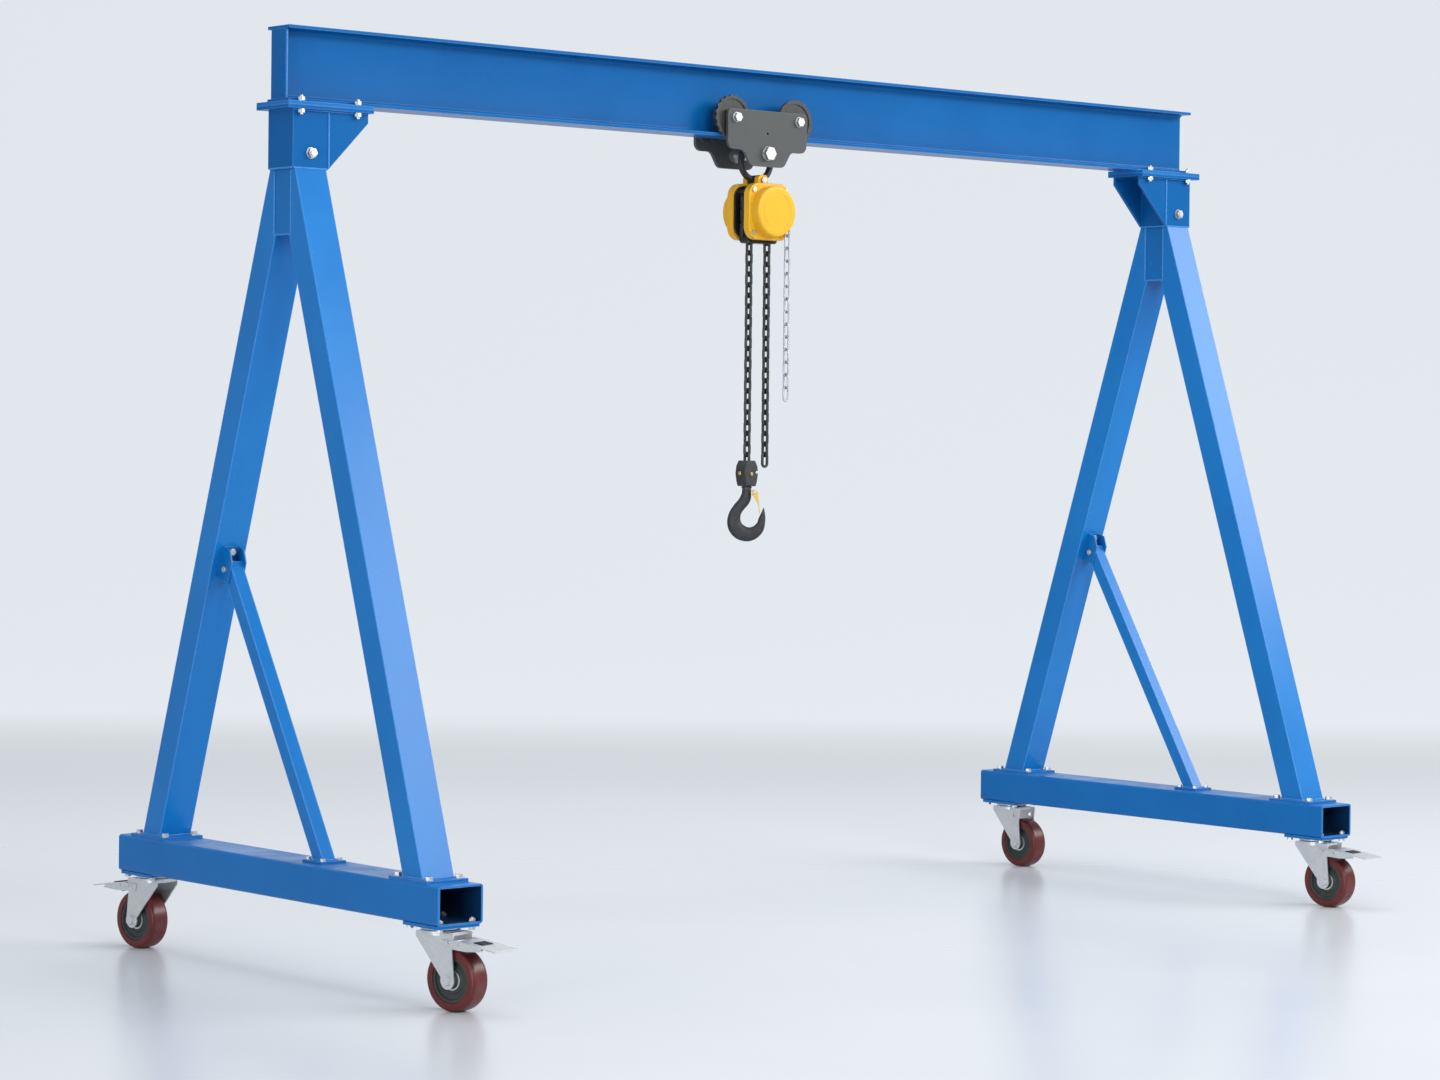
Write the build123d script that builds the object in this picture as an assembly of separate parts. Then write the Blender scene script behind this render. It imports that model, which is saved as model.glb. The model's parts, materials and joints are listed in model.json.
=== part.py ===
from build123d import *
import math
import os

# Portable gantry crane: an I-beam on two A-frames with swivel casters,
# carrying a push trolley and a hand-chain hoist.
# Millimetres. X runs along the beam, Y along the base tubes, Z is up.
# The origin is on the floor under the middle of the crane.

# ---------------------------------------------------------------- overall sizes
frame_spacing = 3400.0
base_length = 1480.0
overall_height = 2510.0
beam_length = frame_spacing + 132.0

# ---------------------------------------------------------------- beam
beam_depth = 200.0
beam_width = 100.0
web_thickness = 6.0
flange_thickness = 8.5
web_radius = 12.0
end_plate_width = 68.0
end_plate_thickness = 8.0

# ---------------------------------------------------------------- head brackets
sleeve_size = 114.0
sleeve_wall = 6.0
pad_thickness = 10.0
pad_width = sleeve_size + 36.0
pad_outer_reach = 83.0
pad_inner_reach = 190.0
pad_bolt_edge = 46.0
pad_bolt_y = sleeve_size / 2 + 9.0
sleeve_height = 154.0
gusset_thickness = 8.0
gusset_lip = 25.0
post_clearance = 1.0
post_wall = 5.0
sleeve_bolt_above = 40.0

# ---------------------------------------------------------------- A-frames
leg_width = 100.0
leg_section = 80.0
leg_wall = 5.0
leg_foot_y = 605.0
crotch_drop = 174.0
crotch_width = sleeve_size - 2 * sleeve_wall - 6.0
crotch_half = 38.0

# ---------------------------------------------------------------- base
caster_height = 210.0
caster_plate_thickness = 8.0
base_width = 140.0
base_height = 100.0
base_wall = 6.0
base_corner = 9.0
foot_plate_thickness = 8.0
foot_plate_x = 128.0
foot_plate_y = 164.0
foot_bolt_inset = 17.0

# ---------------------------------------------------------------- brace
brace_size = 40.0
brace_wall = 3.0
brace_foot_y = -150.0
brace_top_z = 1070.0
brace_stand_off = 32.0
brace_plate_x = 78.0
brace_plate_y = 88.0
clip_thickness = 4.0
clip_height = 90.0
clip_reach = 52.0

# ---------------------------------------------------------------- casters
caster_inset = 80.0
caster_plate_x = 136.0
caster_plate_y = 150.0
wheel_radius = 80.0
wheel_width = 58.0
wheel_trail = 55.0
tyre_inner_radius = 58.0
hub_boss_radius = 16.0
axle_radius = 8.0
fork_thickness = 4.0
fork_inner = 35.0
race_radius = 52.0
pedal_reach = 215.0
pedal_pivot_y = -50.0
pedal_pivot_z = 172.0

# ---------------------------------------------------------------- trolley
trolley_x = -105.0
trolley_plate_thickness = 10.0
trolley_plate_y = 67.0
trolley_half_length = 153.0
trolley_wheel_x = 122.0
tread_radius = 46.4
rim_radius = 66.0
rim_teeth = 40
trolley_axle_radius = 10.0
load_shaft_radius = 15.0
load_shaft_drop = 44.0

# ---------------------------------------------------------------- hoist
sprocket_radius = 35.0
hoist_half = 80.0
hoist_centre_drop = 210.0
cover_disc_radius = 74.0
hoist_frame_half = 26.0
cover_depth = 24.0
hand_chain_radius = 55.0
hand_chain_y = -66.5

# ---------------------------------------------------------------- chains and hook
load_wire = 8.5
load_link_width = 27.0
load_links = 23
slack_links = 22
hand_wire = 5.6
hand_link_width = 23.0
hand_pitch = 37.0
hand_links = 14
block_top_z = 1372.0
block_bottom_z = 1297.0
block_half_x = 27.0
block_half_y = 22.0
hook_radius = 56.0
hook_thickness = 26.0
hook_turn = -41.0

# ---------------------------------------------------------------- clearances
flat_gap = 0.3
run_gap = 0.06

# ---------------------------------------------------------------- derived heights
base_bottom_z = caster_height + caster_plate_thickness
base_top_z = base_bottom_z + base_height
leg_bottom_z = base_top_z + foot_plate_thickness
beam_bottom_z = overall_height - beam_depth
pad_bottom_z = beam_bottom_z - pad_thickness
head_bottom_z = pad_bottom_z - pad_thickness
sleeve_bottom_z = head_bottom_z - sleeve_height
sleeve_bolt_z = sleeve_bottom_z + sleeve_bolt_above
flange_top_z = beam_bottom_z + flange_thickness
trolley_axle_z = flange_top_z + 0.1 + tread_radius
load_shaft_z = beam_bottom_z - load_shaft_drop
hoist_x = trolley_x + sprocket_radius
hoist_z = beam_bottom_z - hoist_centre_drop
block_pin_z = block_top_z - 39.0
frame_x = frame_spacing / 2
caster_y = base_length / 2 - caster_inset

# ---------------------------------------------------------------- helpers
os.makedirs("parts", exist_ok=True)


def block(x0, x1, y0, y1, z0, z1):
    """Box between two corners."""
    centre = ((x0 + x1) / 2, (y0 + y1) / 2, (z0 + z1) / 2)
    return Pos(*centre) * Box(abs(x1 - x0), abs(y1 - y0), abs(z1 - z0))


def rod(radius, length, centre, axis):
    """Cylinder centred on a point, lying along X, Y or Z."""
    turn = {"X": Rot(0, 90, 0), "Y": Rot(90, 0, 0), "Z": Rot(0, 0, 0)}[axis]
    return Pos(*centre) * turn * Cylinder(radius, length)


def hexagon(across_flats, length, centre, axis):
    """Hexagonal prism centred on a point, lying along X, Y or Z."""
    turn = {"X": Rot(0, 90, 0), "Y": Rot(90, 0, 0), "Z": Rot(0, 0, 0)}[axis]
    outline = RegularPolygon(across_flats / 2, 6, major_radius=False)
    return Pos(*centre) * turn * extrude(outline, length / 2, both=True)


def prism_yz(points, x0, x1):
    """Polygon of (y, z) corners, extruded along X."""
    corners = [(min(x0, x1), y, z) for y, z in points]
    face = make_face(Polyline(*corners, close=True).edges())
    return extrude(face, abs(x1 - x0), dir=(1, 0, 0))


def prism_xz(points, y0, y1):
    """Polygon of (x, z) corners, extruded along Y."""
    corners = [(x, y0, z) for x, z in points]
    face = make_face(Polyline(*corners, close=True).edges())
    return extrude(face, y1 - y0, dir=(0, 1, 0))


def round_edges(shape, axis, radius):
    """Round the edges that run along one axis."""
    return fillet(shape.edges().filter_by(axis), radius)


def save(shapes, node):
    """Write one node; a list becomes a group of separate solids."""
    solids = []
    for shape in shapes if isinstance(shapes, list) else [shapes]:
        solids.extend(shape.solids())
    shape = solids[0] if len(solids) == 1 else Compound(children=solids)
    shape.label = node
    export_step(shape, f"parts/{node}.step")


def bolt(radius, across, top, bottom, x, y, head_up=True):
    """Vertical bolt: head, washer, shank and nut about two clamped faces."""
    head = radius * 1.3
    shank = rod(radius, top - bottom + 2 * head + 6, (x, y, (top + bottom) / 2), "Z")
    sign = 1 if head_up else -1
    head_face, nut_face = (top, bottom) if head_up else (bottom, top)
    cap = hexagon(across, head, (x, y, head_face + sign * (head / 2 + 2)), "Z")
    washer = rod(across * 0.62, 2, (x, y, head_face + sign), "Z")
    nut = hexagon(across, head, (x, y, nut_face - sign * head / 2), "Z")
    trim = block(x - 40, x + 40, y - 40, y + 40, head_face, head_face + 90)
    if not head_up:
        trim = block(x - 40, x + 40, y - 40, y + 40, head_face - 90, head_face)
    return (shank - trim) + cap + washer + nut


def stud(radius, across, top, bottom, x, y):
    """Vertical threaded stud with a washer and a nut at each clamped face."""
    nut = radius * 1.7
    reach = nut + 2 + radius
    piece = rod(radius, top - bottom + 2 * reach, (x, y, (top + bottom) / 2), "Z")
    for face, sign in ((top, 1), (bottom, -1)):
        piece += hexagon(across, nut, (x, y, face + sign * (nut / 2 + 2)), "Z")
        piece += rod(across * 0.5, 2, (x, y, face + sign), "Z")
    return piece


# ================================================================ beam
half_beam = beam_length / 2
web = block(-half_beam, half_beam, -web_thickness / 2, web_thickness / 2,
            beam_bottom_z, overall_height)
beam = web
for low in (beam_bottom_z, overall_height - flange_thickness):
    beam += block(-half_beam, half_beam, -beam_width / 2, beam_width / 2,
                  low, low + flange_thickness)
inner_edges = [e for e in beam.edges().filter_by(Axis.X)
               if abs(abs(e.center().Y) - web_thickness / 2) < 0.01]
beam = fillet(inner_edges, web_radius)

end_plate = block(-half_beam, -half_beam + end_plate_thickness,
                  -end_plate_width / 2, end_plate_width / 2,
                  flange_top_z, overall_height - flange_thickness)
beam -= end_plate
save(beam, "beam")
save(end_plate, "beam_end_plate")

# ================================================================ head brackets
bolt_reach = [-(pad_outer_reach - pad_bolt_edge), pad_inner_reach - pad_bolt_edge]
pads = []
posts = []
head_bolts = []
sleeve_bolts = []
for side, name in ((-1, "left"), (1, "right")):
    centre = side * frame_x
    inward = -side
    outer_x = centre - inward * pad_outer_reach
    inner_x = centre + inward * pad_inner_reach
    half = sleeve_size / 2
    holes = []
    for reach in bolt_reach:
        for y in (-pad_bolt_y, pad_bolt_y):
            x = centre + inward * reach
            holes.append(rod(5.3, 60, (x, y, pad_bottom_z), "Z"))
            head_bolts.append(stud(5, 17, beam_bottom_z, head_bottom_z, x, y))
    pad = block(outer_x, inner_x, -pad_width / 2, pad_width / 2, pad_bottom_z, beam_bottom_z)
    head = block(outer_x, inner_x, -pad_width / 2, pad_width / 2, head_bottom_z, pad_bottom_z)
    for hole in holes:
        pad -= hole
        head -= hole
    pads.append(pad)
    head += block(centre - half, centre + half, -half, half, sleeve_bottom_z, head_bottom_z)
    hollow = half - sleeve_wall
    head -= block(centre - hollow, centre + hollow, -hollow, hollow,
                  sleeve_bottom_z, head_bottom_z)
    start = centre + inward * half
    tip = inner_x - inward * 6
    outline = [(start, head_bottom_z), (tip, head_bottom_z), (tip, head_bottom_z - gusset_lip),
               (start, sleeve_bottom_z)]
    for y in (-half, half - gusset_thickness):
        head += prism_xz(outline, y, y + gusset_thickness)
    head -= rod(8.3, 300, (centre, 0, sleeve_bolt_z), "Y")
    save(head, f"head_{name}")

    post_half = hollow - post_clearance
    post = block(centre - post_half, centre + post_half, -post_half, post_half,
                 sleeve_bottom_z, head_bottom_z - 15)
    bore = post_half - post_wall
    post -= block(centre - bore, centre + bore, -bore, bore,
                  sleeve_bottom_z, head_bottom_z - 15)
    post -= rod(8.3, 300, (centre, 0, sleeve_bolt_z), "Y")
    posts.append(post)

    through = rod(8, sleeve_size + 30, (centre, 0, sleeve_bolt_z), "Y")
    for end in (-1, 1):
        y = end * (half + 7.5)
        through += hexagon(24, 10, (centre, y, sleeve_bolt_z), "Y")
        through += rod(15, 2.5, (centre, end * (half + 1.25), sleeve_bolt_z), "Y")
    sleeve_bolts.append(through)
save(pads, "beam_pads")
save(posts, "posts")
save(head_bolts, "head_bolts")
save(sleeve_bolts, "sleeve_bolts")

# ================================================================ legs
leg_rise = sleeve_bottom_z - leg_bottom_z
half_sleeve = sleeve_size / 2
slope = 0.3
for _ in range(20):
    leg_span = leg_section * math.sqrt(1 + slope * slope)
    slope = (leg_foot_y + leg_span / 2 - half_sleeve) / leg_rise


def outer_y(z):
    """Distance of a leg's outer face from the frame's middle plane."""
    return half_sleeve + slope * (sleeve_bottom_z - z)


def inner_y(z):
    """Distance of a leg's inner face from the frame's middle plane."""
    return outer_y(z) - leg_span


wall_span = leg_wall * math.sqrt(1 + slope * slope)
mitre_z = sleeve_bottom_z - (leg_span - half_sleeve) / slope
inner_mitre_z = sleeve_bottom_z - (leg_span - wall_span - half_sleeve) / slope
crotch_z = sleeve_bottom_z - crotch_drop
spigot_wall_y = crotch_half + leg_wall
spigot_wall_z = mitre_z - (spigot_wall_y - wall_span) / slope

for side, side_name in ((-1, "left"), (1, "right")):
    for end, end_name in ((-1, "front"), (1, "rear")):
        outline = [(end * inner_y(leg_bottom_z), leg_bottom_z),
                   (end * outer_y(leg_bottom_z), leg_bottom_z),
                   (end * half_sleeve, sleeve_bottom_z),
                   (0, sleeve_bottom_z),
                   (0, mitre_z)]
        low, high = leg_bottom_z, sleeve_bottom_z - leg_wall
        hollow = [(end * (inner_y(low) + wall_span), low),
                  (end * (outer_y(low) - wall_span), low),
                  (end * (outer_y(high) - wall_span), high),
                  (end * spigot_wall_y, high),
                  (end * spigot_wall_y, spigot_wall_z)]
        centre = side * frame_x
        leg = prism_yz(outline, centre - leg_width / 2, centre + leg_width / 2)
        leg -= prism_yz(hollow, centre - leg_width / 2 + leg_wall,
                        centre + leg_width / 2 - leg_wall)
        leg -= block(centre - leg_width, centre + leg_width, -crotch_half, crotch_half,
                     crotch_z, sleeve_bottom_z)
        if end > 0:
            normal_z = brace_top_z + 46
            bore_y = inner_y(normal_z)
            leg -= rod(6.3, 60, (centre, bore_y, normal_z), "Y")
        save(leg, f"leg_{side_name}_{end_name}")

crotches = []
for side in (-1, 1):
    centre = side * frame_x
    crotches.append(block(centre - crotch_width / 2, centre + crotch_width / 2,
                          -crotch_half, crotch_half, crotch_z, sleeve_bottom_z))
save(crotches, "crotch_blocks")

# ================================================================ base tubes, feet
foot_plates = []
foot_bolts = []
caster_plates = []
caster_bolts = []
half_base = base_length / 2
for side, side_name in ((-1, "left"), (1, "right")):
    centre = side * frame_x
    tube = block(centre - base_width / 2, centre + base_width / 2, -half_base, half_base,
                 base_bottom_z, base_top_z)
    tube = round_edges(tube, Axis.Y, base_corner)
    hollow = block(centre - base_width / 2 + base_wall, centre + base_width / 2 - base_wall,
                   -half_base, half_base, base_bottom_z + base_wall, base_top_z - base_wall)
    tube -= round_edges(hollow, Axis.Y, base_corner - base_wall)
    seats = [(-leg_foot_y, foot_plate_x, foot_plate_y), (leg_foot_y, foot_plate_x, foot_plate_y),
             (brace_foot_y, brace_plate_x, brace_plate_y)]
    for seat_y, size_x, size_y in seats:
        plate = block(centre - size_x / 2, centre + size_x / 2, seat_y - size_y / 2,
                      seat_y + size_y / 2, base_top_z, leg_bottom_z)
        small = size_x < foot_plate_x
        inset = 12.0 if small else foot_bolt_inset
        radius, across = (4.0, 13.0) if small else (6.0, 18.0)
        for sx in (-1, 1):
            for sy in (-1, 1):
                x = centre + sx * (size_x / 2 - inset)
                y = seat_y + sy * (size_y / 2 - inset)
                hole = rod(radius + flat_gap, 60, (x, y, base_top_z), "Z")
                plate -= hole
                tube -= hole
                foot_bolts.append(bolt(radius, across, leg_bottom_z, base_top_z - base_wall,
                                       x, y))
        foot_plates.append(plate)
    for end in (-1, 1):
        pivot_y = end * caster_y
        plate = block(centre - caster_plate_x / 2, centre + caster_plate_x / 2,
                      pivot_y - caster_plate_y / 2, pivot_y + caster_plate_y / 2,
                      caster_height, base_bottom_z)
        plate = round_edges(plate, Axis.Z, 8)
        for sx in (-1, 1):
            for sy in (-1, 1):
                x = centre + sx * (caster_plate_x / 2 - 17)
                y = pivot_y + sy * (caster_plate_y / 2 - 14)
                hole = rod(5 + flat_gap, 60, (x, y, base_bottom_z), "Z")
                plate -= hole
                tube -= hole
                caster_bolts.append(bolt(5, 16, base_bottom_z + base_wall, caster_height,
                                         x, y, head_up=False))
        caster_plates.append(plate)
    save(tube, f"base_tube_{side_name}")
save(foot_plates, "foot_plates")
save(foot_bolts, "foot_bolts")
save(caster_plates, "caster_plates")
save(caster_bolts, "caster_bolts")

# ================================================================ diagonal braces
tilt = math.atan(slope)
brace_top_y = inner_y(brace_top_z) - brace_stand_off
run_y = brace_top_y - brace_foot_y
run_z = brace_top_z - leg_bottom_z
lean = math.atan2(run_y, run_z)
brace_span = brace_size / math.cos(lean)
clips = []
brace_bolts = []
for side, side_name in ((-1, "left"), (1, "right")):
    centre = side * frame_x
    half = brace_size / 2
    over = 14.0
    end_y = brace_top_y + over * math.sin(lean)
    end_z = brace_top_z + over * math.cos(lean)

    def brace_outline(inset):
        """Side outline of the brace, cut flat on its foot plate and square on top."""
        near = (half - inset) / math.cos(lean)
        across_y = (half - inset) * math.cos(lean)
        across_z = (half - inset) * math.sin(lean)
        return [(brace_foot_y - near, leg_bottom_z), (brace_foot_y + near, leg_bottom_z),
                (end_y + across_y, end_z - across_z), (end_y - across_y, end_z + across_z)]

    brace = prism_yz(brace_outline(0), centre - half, centre + half)
    brace -= prism_yz(brace_outline(brace_wall), centre - half + brace_wall,
                      centre + half - brace_wall)
    pivot = (centre, brace_top_y, brace_top_z)
    brace -= rod(5.3, 200, pivot, "X")
    save(brace, f"brace_{side_name}")

    def on_leg(along, away):
        """Point at a distance up the rear leg's inner face and out from it."""
        z = brace_top_z + along * math.cos(tilt) - away * math.sin(tilt)
        base = inner_y(brace_top_z)
        y = base - along * math.sin(tilt) - away * math.cos(tilt)
        return (y, z)

    low, high = -24.0, clip_height - 24.0
    cheek = [on_leg(low, 0), on_leg(high, 0), on_leg(high, clip_reach * 0.6),
             on_leg(high - 30, clip_reach), on_leg(low, clip_reach)]
    back = [on_leg(low, 0), on_leg(high, 0), on_leg(high, clip_thickness),
            on_leg(low, clip_thickness)]
    inner = half + flat_gap
    clip = prism_yz(back, centre - inner - clip_thickness, centre + inner + clip_thickness)
    clip += prism_yz(cheek, centre - inner - clip_thickness, centre - inner)
    clip += prism_yz(cheek, centre + inner, centre + inner + clip_thickness)
    clip -= rod(5.3, 200, pivot, "X")
    clip -= rod(6.3, 40, (centre, inner_y(brace_top_z + 46), brace_top_z + 46), "Y")
    clips.append(clip)

    cross = rod(5, 2 * (inner + clip_thickness) + 22, pivot, "X")
    for end in (-1, 1):
        x = centre + end * (inner + clip_thickness + 4)
        cross += hexagon(16, 8, (x, brace_top_y, brace_top_z), "X")
    brace_bolts.append(cross)
    y = inner_y(brace_top_z + 46)
    fixing = rod(6, 26, (centre, y - 1, brace_top_z + 46), "Y")
    fixing += hexagon(18, 8, (centre, y - 12, brace_top_z + 46), "Y")
    brace_bolts.append(fixing)
save(clips, "brace_clips")
save(brace_bolts, "brace_bolts")

# ================================================================ casters
tyre_half = wheel_width / 2
tyre = rod(wheel_radius, wheel_width, (0, -wheel_trail, wheel_radius), "X")
tyre = fillet(tyre.edges(), 7)
tyre -= rod(tyre_inner_radius, wheel_width + 2, (0, -wheel_trail, wheel_radius), "X")

wheel_centre = (0, -wheel_trail, wheel_radius)
hub = rod(tyre_inner_radius - flat_gap, wheel_width - 4, wheel_centre, "X")
for end in (-1, 1):
    recess = rod(tyre_inner_radius - 8, 11, (end * (tyre_half - 5.5), wheel_centre[1],
                                             wheel_centre[2]), "X")
    hub -= recess
hub += rod(hub_boss_radius, 2 * fork_inner - 1, wheel_centre, "X")
hub -= rod(axle_radius + run_gap, 2 * fork_inner + 2, wheel_centre, "X")

fork_outer = fork_inner + fork_thickness
crown_z = caster_height - 12
foot_round = 22.0
side_outline = [(50, crown_z - 1), (50, crown_z - 14), (-wheel_trail + 21, wheel_radius + 7),
                (-wheel_trail - 21.5, wheel_radius + 4), (-wheel_trail - 14, crown_z - 40),
                (-wheel_trail - 18, crown_z - 1)]
fork = block(-fork_outer, fork_outer, -wheel_trail - 5, 45, crown_z - 8, crown_z)
for x0 in (-fork_outer, fork_inner):
    fork += prism_yz(side_outline, x0, x0 + fork_thickness)
    fork += rod(foot_round, fork_thickness, (x0 + fork_thickness / 2, wheel_centre[1],
                                             wheel_centre[2]), "X")
fork += rod(race_radius - 4, 10, (0, 0, crown_z - 3), "Z")
fork -= rod(axle_radius + flat_gap, 200, wheel_centre, "X")
fork -= rod(6 + flat_gap, 200, (0, pedal_pivot_y, pedal_pivot_z), "X")
fork -= rod(8 + run_gap, 60, (0, 0, crown_z), "Z")

axle = rod(axle_radius, 2 * fork_outer + 12, wheel_centre, "X")
for end in (-1, 1):
    axle += hexagon(24, 9, (end * (fork_outer + 4.8), wheel_centre[1], wheel_centre[2]), "X")

race = rod(race_radius, 7.5, (0, 0, caster_height - 3.75), "Z")
race = fillet(race.edges().group_by(Axis.Z)[0], 2.5)
race += rod(8, 26, (0, 0, caster_height - 13), "Z")

arm_inner = fork_outer + 1.0
arm_outer = arm_inner + 3.0
arm_outline = [(pedal_pivot_y + 14, pedal_pivot_z - 10), (pedal_pivot_y + 14, pedal_pivot_z + 10),
               (pedal_pivot_y - 40, pedal_pivot_z + 10), (pedal_pivot_y - 110, pedal_pivot_z + 2),
               (pedal_pivot_y - 122, pedal_pivot_z - 10), (pedal_pivot_y - 70, pedal_pivot_z - 14)]
tread_top = [(pedal_pivot_y - 40, pedal_pivot_z + 6), (pedal_pivot_y - 40, pedal_pivot_z + 10),
             (pedal_pivot_y - 110, pedal_pivot_z + 2), (-pedal_reach, pedal_pivot_z - 6),
             (-pedal_reach, pedal_pivot_z - 10), (pedal_pivot_y - 112, pedal_pivot_z - 2)]
pedal = prism_yz(tread_top, -arm_outer, arm_outer)
for x0 in (-arm_outer, arm_inner):
    pedal += prism_yz(arm_outline, x0, x0 + 3)
pedal += block(-14, 14, pedal_pivot_y - 62, pedal_pivot_y - 48, pedal_pivot_z - 14, pedal_pivot_z + 6)
pedal += rod(6, 2 * arm_outer + 6, (0, pedal_pivot_y, pedal_pivot_z), "X")

corners = [(-1, -1, "left_front", 12, True), (-1, 1, "left_rear", 188, True),
           (1, -1, "right_front", 4, True), (1, 1, "right_rear", 0, False)]
races = []
for side, end, name, turn, braked in corners:
    place = Pos(side * frame_x, end * caster_y, 0) * Rot(0, 0, turn)
    save(place * tyre, f"tyre_{name}")
    save(place * hub, f"hub_{name}")
    save([place * fork, place * axle], f"fork_{name}")
    races.append(place * race)
    if braked:
        save(place * pedal, f"pedal_{name}")
save(races, "caster_races")

# ================================================================ trolley
plate_outer = trolley_plate_y + trolley_plate_thickness
top_z = beam_bottom_z + 80
side_z = beam_bottom_z - 36
low_z = load_shaft_z - 38
outline = [(-trolley_half_length, top_z), (trolley_half_length, top_z),
           (trolley_half_length, side_z), (92, side_z), (64, low_z), (-64, low_z),
           (-92, side_z), (-trolley_half_length, side_z)]
axle_bolts = []
for end, end_name in ((-1, "front"), (1, "rear")):
    y0 = trolley_plate_y if end > 0 else -plate_outer
    plate = prism_xz([(trolley_x + x, z) for x, z in outline], y0, y0 + trolley_plate_thickness)
    plate = fillet([e for e in plate.edges().filter_by(Axis.Y) if e.center().Z > side_z + 1], 14)
    plate = fillet([e for e in plate.edges().filter_by(Axis.Y)
                    if e.center().Z < side_z + 1], 23)
    middle = end * (trolley_plate_y + trolley_plate_thickness / 2)
    plate -= rod(load_shaft_radius + flat_gap, 40, (trolley_x, middle, load_shaft_z), "Y")
    plate -= rod(4, 40, (trolley_x, middle, load_shaft_z + 58), "Y")
    for side, side_name in ((-1, "left"), (1, "right")):
        x = trolley_x + side * trolley_wheel_x
        plate -= rod(trolley_axle_radius + flat_gap, 40, (x, middle, trolley_axle_z), "Y")
        y = end * 57
        if side < 0:
            notch = []
            for i in range(rim_teeth * 2):
                angle = math.pi * (i + 0.5) / rim_teeth
                radius = rim_radius if i // 2 % 2 == 0 else rim_radius - 4
                notch.append((x + radius * math.cos(angle),
                              trolley_axle_z + radius * math.sin(angle)))
            wheel = prism_xz(notch, y - 5, y + 5)
        else:
            wheel = rod(rim_radius, 10, (x, y, trolley_axle_z), "Y")
        wheel -= rod(rim_radius - 12, 4, (x, end * 60.5, trolley_axle_z), "Y")
        wheel += rod(tread_radius, 28, (x, end * 38, trolley_axle_z), "Y")
        wheel += rod(20, 10, (x, end * 61.5, trolley_axle_z), "Y")
        wheel -= rod(trolley_axle_radius + run_gap, 120, (x, end * 50, trolley_axle_z), "Y")
        save(wheel, f"trolley_wheel_{side_name}_{end_name}")
        length = plate_outer + 4 - 26
        pin = rod(trolley_axle_radius, length, (x, end * (26 + length / 2), trolley_axle_z), "Y")
        pin += hexagon(24, 10, (x, end * (plate_outer + 7), trolley_axle_z), "Y")
        pin += rod(15, 2, (x, end * (plate_outer + 1), trolley_axle_z), "Y")
        axle_bolts.append(pin)
    save(plate, f"trolley_plate_{end_name}")
save(axle_bolts, "trolley_axle_bolts")

shaft = rod(load_shaft_radius, 2 * plate_outer + 8, (trolley_x, 0, load_shaft_z), "Y")
for end in (-1, 1):
    y = end * (plate_outer + 9)
    shaft += hexagon(36, 14, (trolley_x, y, load_shaft_z), "Y")
    shaft += rod(21, 2.5, (trolley_x, end * (plate_outer + 1.25), load_shaft_z), "Y")
    shaft += rod(22, 20, (trolley_x, end * (trolley_plate_y - 10), load_shaft_z), "Y")
save(shaft, "load_shaft")

# ================================================================ hoist
loop_wire = 9.4
loop_left = 34.5
loop_right = 78.0
loop_shoulder = 25.0
shank_x = trolley_x + 22
shank_z = hoist_z + 92
crown = load_shaft_radius + flat_gap + loop_wire


def quarter(centre_x, half_x, half_z, start):
    """Quarter of an upright ellipse at the height of the loop's shoulder."""
    low = load_shaft_z - loop_shoulder
    turns = [math.radians(start + 90 * i / 6) for i in range(7)]
    points = [(centre_x + half_x * math.cos(a), 0, low + half_z * math.sin(a)) for a in turns]
    ends = [(-half_x * math.sin(a), 0, half_z * math.cos(a)) for a in (turns[0], turns[-1])]
    return Spline(*points, tangents=ends)


shank_offset = shank_x - trolley_x
crown_rise = crown + loop_shoulder
belly_drop = 47.0
ring = [quarter(trolley_x, loop_right, crown_rise, 0),
        quarter(trolley_x, loop_left, crown_rise, 90),
        quarter(shank_x, loop_left + shank_offset, belly_drop, 180),
        quarter(shank_x, loop_right - shank_offset, belly_drop, 270)]
path = Wire([edge for arc in ring for edge in arc.edges()])
loop = sweep(Plane(path @ 0, z_dir=path % 0) * Circle(loop_wire), path)
loop += rod(16, 30, (shank_x, 0, shank_z), "Y")
loop -= rod(6 + flat_gap, 60, (shank_x, 0, shank_z), "Y")
save(loop, "suspension_loop")


def rounded_cover(half_x, half_z, y0, y1, corner):
    """Rounded-square slab about the hoist's axis."""
    slab = block(hoist_x - half_x, hoist_x + half_x, y0, y1, hoist_z - half_z, hoist_z + half_z)
    return round_edges(slab, Axis.Y, corner)


frame_half = hoist_frame_half - flat_gap
side_frames = rounded_cover(74, 76, -frame_half, frame_half, 34)
side_frames -= rounded_cover(90, 90, -20, 20, 30)
for dx, dz in [(-56, 56), (56, 56)]:
    side_frames += rod(7, 2 * frame_half, (hoist_x + dx, 0, hoist_z + dz), "Y")
guide_low = hoist_z - 92
guide = block(hoist_x - 56, hoist_x + 56, -19.7, 19.7, guide_low, hoist_z - 46)
side_frames += round_edges(guide, Axis.Y, 10)
side_frames += block(hoist_x - 50, hoist_x + 50, -frame_half, frame_half,
                     hoist_z - 74, hoist_z - 60)
for x in (hoist_x - sprocket_radius, hoist_x + sprocket_radius):
    side_frames -= rod(16, 120, (x, 0, hoist_z - 60), "Z")
side_frames -= rod(10 + run_gap, 120, (hoist_x, 0, hoist_z), "Y")
save(side_frames, "hoist_frame")

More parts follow.
